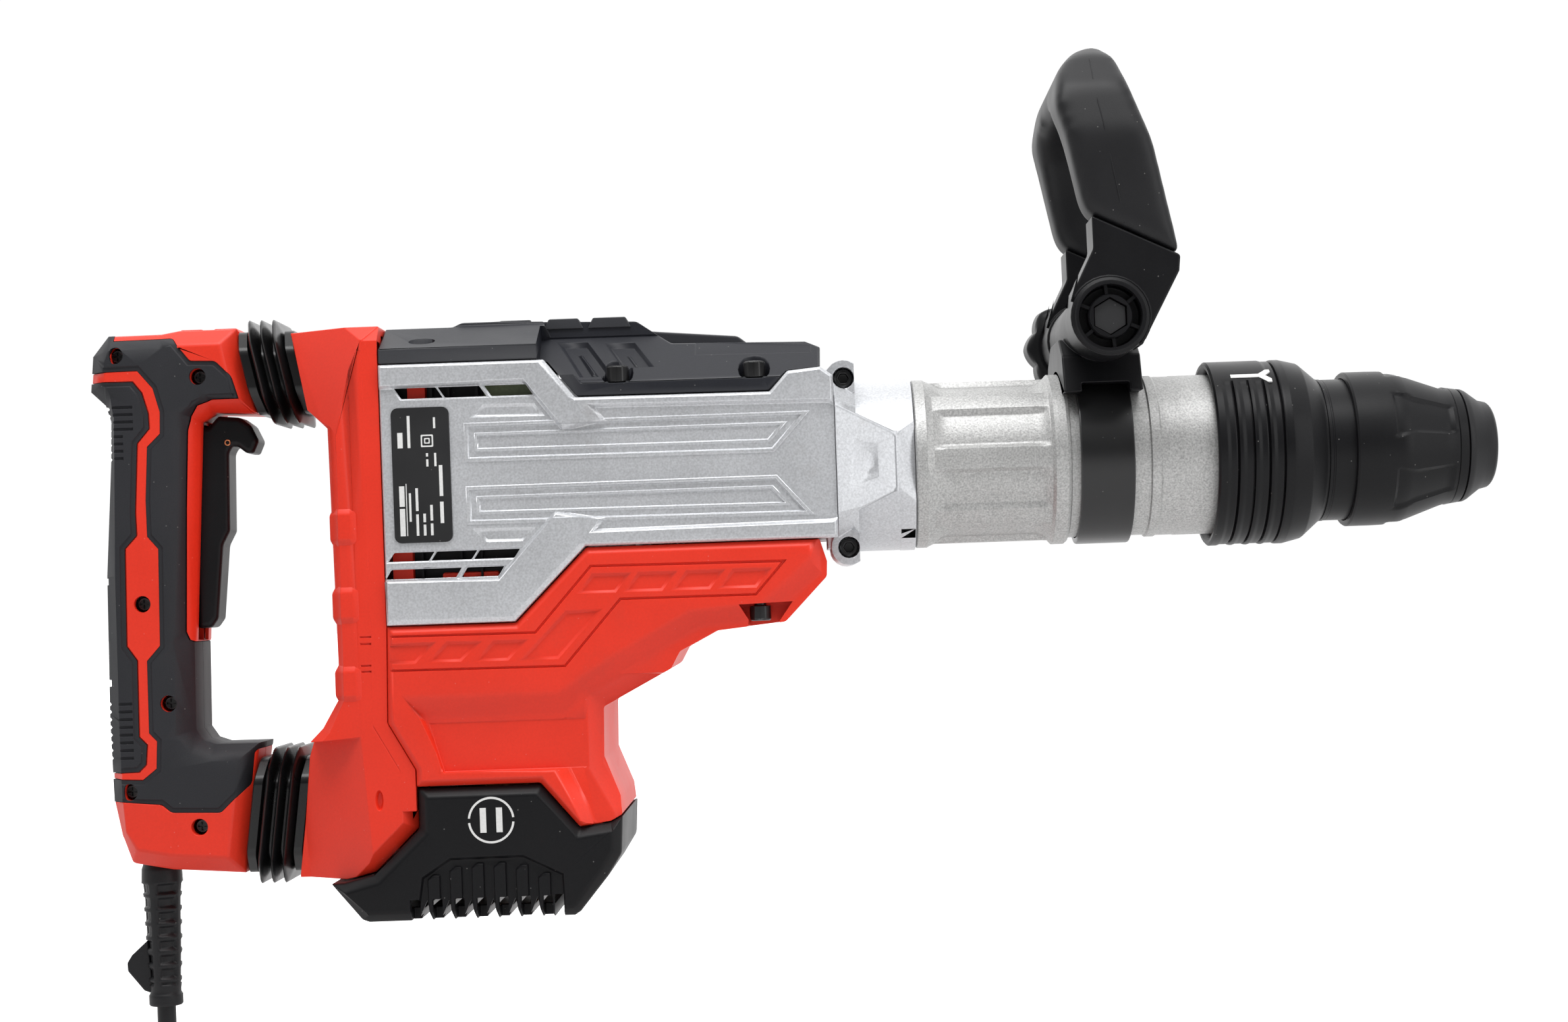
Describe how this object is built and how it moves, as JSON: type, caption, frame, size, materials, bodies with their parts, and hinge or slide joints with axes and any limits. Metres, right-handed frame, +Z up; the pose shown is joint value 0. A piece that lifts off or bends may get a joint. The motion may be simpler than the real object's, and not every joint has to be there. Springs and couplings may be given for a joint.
{
  "type": "demolition hammer",
  "caption": "Corded demolition hammer: electropneumatic striker, sliding chuck sleeve, swivelling D side handle and sprung rear D handle.",
  "frame": {"origin": "centre of the impact bolt's front face, where the end of the bit's shank rests, on the hammer axis", "axes": "+X along the hammer axis towards the bit, +Z up on the side of the top cover, +Y to the operator's left"},
  "size_m": [0.6149, 0.1465, 0.4215],
  "materials": {
    "red_plastic": "semi-matt moulded glass-filled nylon",
    "silver_paint": "metallic flake silver paint, semi-gloss",
    "cast_aluminium": "blasted casting with a fine sparkle",
    "grey_plastic": "matt moulded",
    "black_plastic": "satin moulded",
    "grip_rubber": "soft matt overmould",
    "rubber": "matt",
    "label": "satin printed film",
    "steel": "ground and oiled",
    "black_steel": "black oxide",
    "laminations": "stacked sheet, varnished",
    "copper": "varnished windings",
    "carbon": "pressed carbon"
  },
  "bodies": {
    "housing": {"barrel": "cast_aluminium", "gear_case": "silver_paint", "side_cover_right": "silver_paint", "side_cover_left": "silver_paint", "rating_plate": "label", "top_cover": "grey_plastic", "motor_housing": "red_plastic", "rear_cover": "red_plastic", "base_cover": "black_plastic", "top_cover_screw_1": "black_steel", "top_cover_screw_2": "black_steel", "top_cover_screw_3": "black_steel", "top_cover_screw_4": "black_steel", "case_bolt_right": "black_steel", "case_bolt_left": "black_steel", "case_screw_1": "black_steel", "case_screw_2": "black_steel", "case_screw_3": "black_steel", "case_screw_4": "black_steel", "cylinder_sleeve": "steel", "stator": "laminations", "motor_bearing_upper": "steel", "motor_bearing_lower": "steel", "brush_right": "carbon", "brush_left": "carbon", "isolator_spring_upper": "steel", "isolator_spring_lower": "steel", "bellows_upper": "rubber", "bellows_lower": "rubber"},
    "rear_handle": {"handle_shell_right": "red_plastic", "handle_shell_left": "red_plastic", "grip_skin_right": "grip_rubber", "grip_skin_left": "grip_rubber", "trigger_switch": "grey_plastic", "cord_sleeve": "rubber", "power_cord": "rubber", "isolator_rod_upper": "steel", "isolator_rod_lower": "steel"},
    "trigger": {"trigger": "black_plastic"},
    "armature": {"armature": "copper", "cooling_fan": "grey_plastic"},
    "crank": {"crank_gear": "steel"},
    "piston": {"piston": "steel", "piston_pin": "steel", "connecting_rod": "steel"},
    "striker": {"striker": "steel"},
    "impact_bolt": {"impact_bolt": "steel"},
    "chuck": {"tool_holder": "steel", "index_ring": "black_plastic", "chuck_spring": "steel"},
    "lock_right": {"lock_segment_right": "steel"},
    "lock_left": {"lock_segment_left": "steel"},
    "chuck_sleeve": {"chuck_sleeve": "black_plastic", "dust_cap": "rubber"},
    "side_clamp": {"clamp_band": "black_steel", "clamp_block": "black_plastic"},
    "side_handle": {"side_handle_base": "black_plastic", "side_handle_grip": "grip_rubber", "clamp_bolt": "black_steel"},
    "knob": {"clamp_knob": "black_plastic"}
  },
  "joints": [
    {"name": "handle_isolation", "type": "slide", "parent": "housing", "child": "rear_handle", "axis": [1, 0, 0], "range_m": [0, 0.006], "stiffness_N_per_m": 6000, "springref_m": -0.002, "deforming": ["bellows_upper", "bellows_lower", "isolator_spring_upper", "isolator_spring_lower"]},
    {"name": "trigger_pull", "type": "hinge", "parent": "rear_handle", "child": "trigger", "pos_m": [-0.481, 0, 0.02], "axis": [0, 1, 0], "range_deg": [0, 7], "stiffness_Nm_per_rad": 1.5, "springref_deg": -11.46},
    {"name": "armature_spin", "type": "hinge", "parent": "housing", "child": "armature", "pos_m": [-0.3434, 0, 0], "axis": [0, 0, 1], "continuous": true},
    {"name": "crank_spin", "type": "hinge", "parent": "housing", "child": "crank", "pos_m": [-0.3, 0, 0], "axis": [0, 0, 1], "continuous": true},
    {"name": "piston_stroke", "type": "slide", "parent": "housing", "child": "piston", "axis": [1, 0, 0], "range_m": [0, 0.028]},
    {"name": "striker_flight", "type": "slide", "parent": "housing", "child": "striker", "axis": [1, 0, 0], "range_m": [-0.004, 0.02]},
    {"name": "impact_bolt_travel", "type": "slide", "parent": "housing", "child": "impact_bolt", "axis": [1, 0, 0], "range_m": [0, 0.006]},
    {"name": "chuck_index", "type": "hinge", "parent": "housing", "child": "chuck", "pos_m": [0, 0, 0], "axis": [1, 0, 0], "continuous": true},
    {"name": "sleeve_release", "type": "slide", "parent": "chuck", "child": "chuck_sleeve", "axis": [-1, 0, 0], "range_m": [0, 0.009], "stiffness_N_per_m": 900, "springref_m": -0.006, "deforming": ["chuck_spring"]},
    {"name": "lock_right_slide", "type": "slide", "parent": "chuck", "child": "lock_right", "axis": [0, -1, 0], "range_m": [0, 0.003]},
    {"name": "lock_left_slide", "type": "slide", "parent": "chuck", "child": "lock_left", "axis": [0, 1, 0], "range_m": [0, 0.003]},
    {"name": "side_handle_swing", "type": "hinge", "parent": "housing", "child": "side_clamp", "pos_m": [-0.0815, 0, 0], "axis": [1, 0, 0], "continuous": true},
    {"name": "side_handle_tilt", "type": "hinge", "parent": "side_clamp", "child": "side_handle", "pos_m": [-0.082, 0, 0.0555], "axis": [0, 1, 0], "range_deg": [-60, 70]},
    {"name": "knob_turn", "type": "hinge", "parent": "side_handle", "child": "knob", "pos_m": [-0.082, 0.0735, 0.0555], "axis": [0, 1, 0], "continuous": true}
  ],
  "couplings": [
    {"joint": "crank_spin", "follows": "armature_spin", "ratio": -0.2},
    {"joint": "lock_right_slide", "follows": "sleeve_release", "ratio": 0.3333},
    {"joint": "lock_left_slide", "follows": "sleeve_release", "ratio": 0.3333}
  ]
}
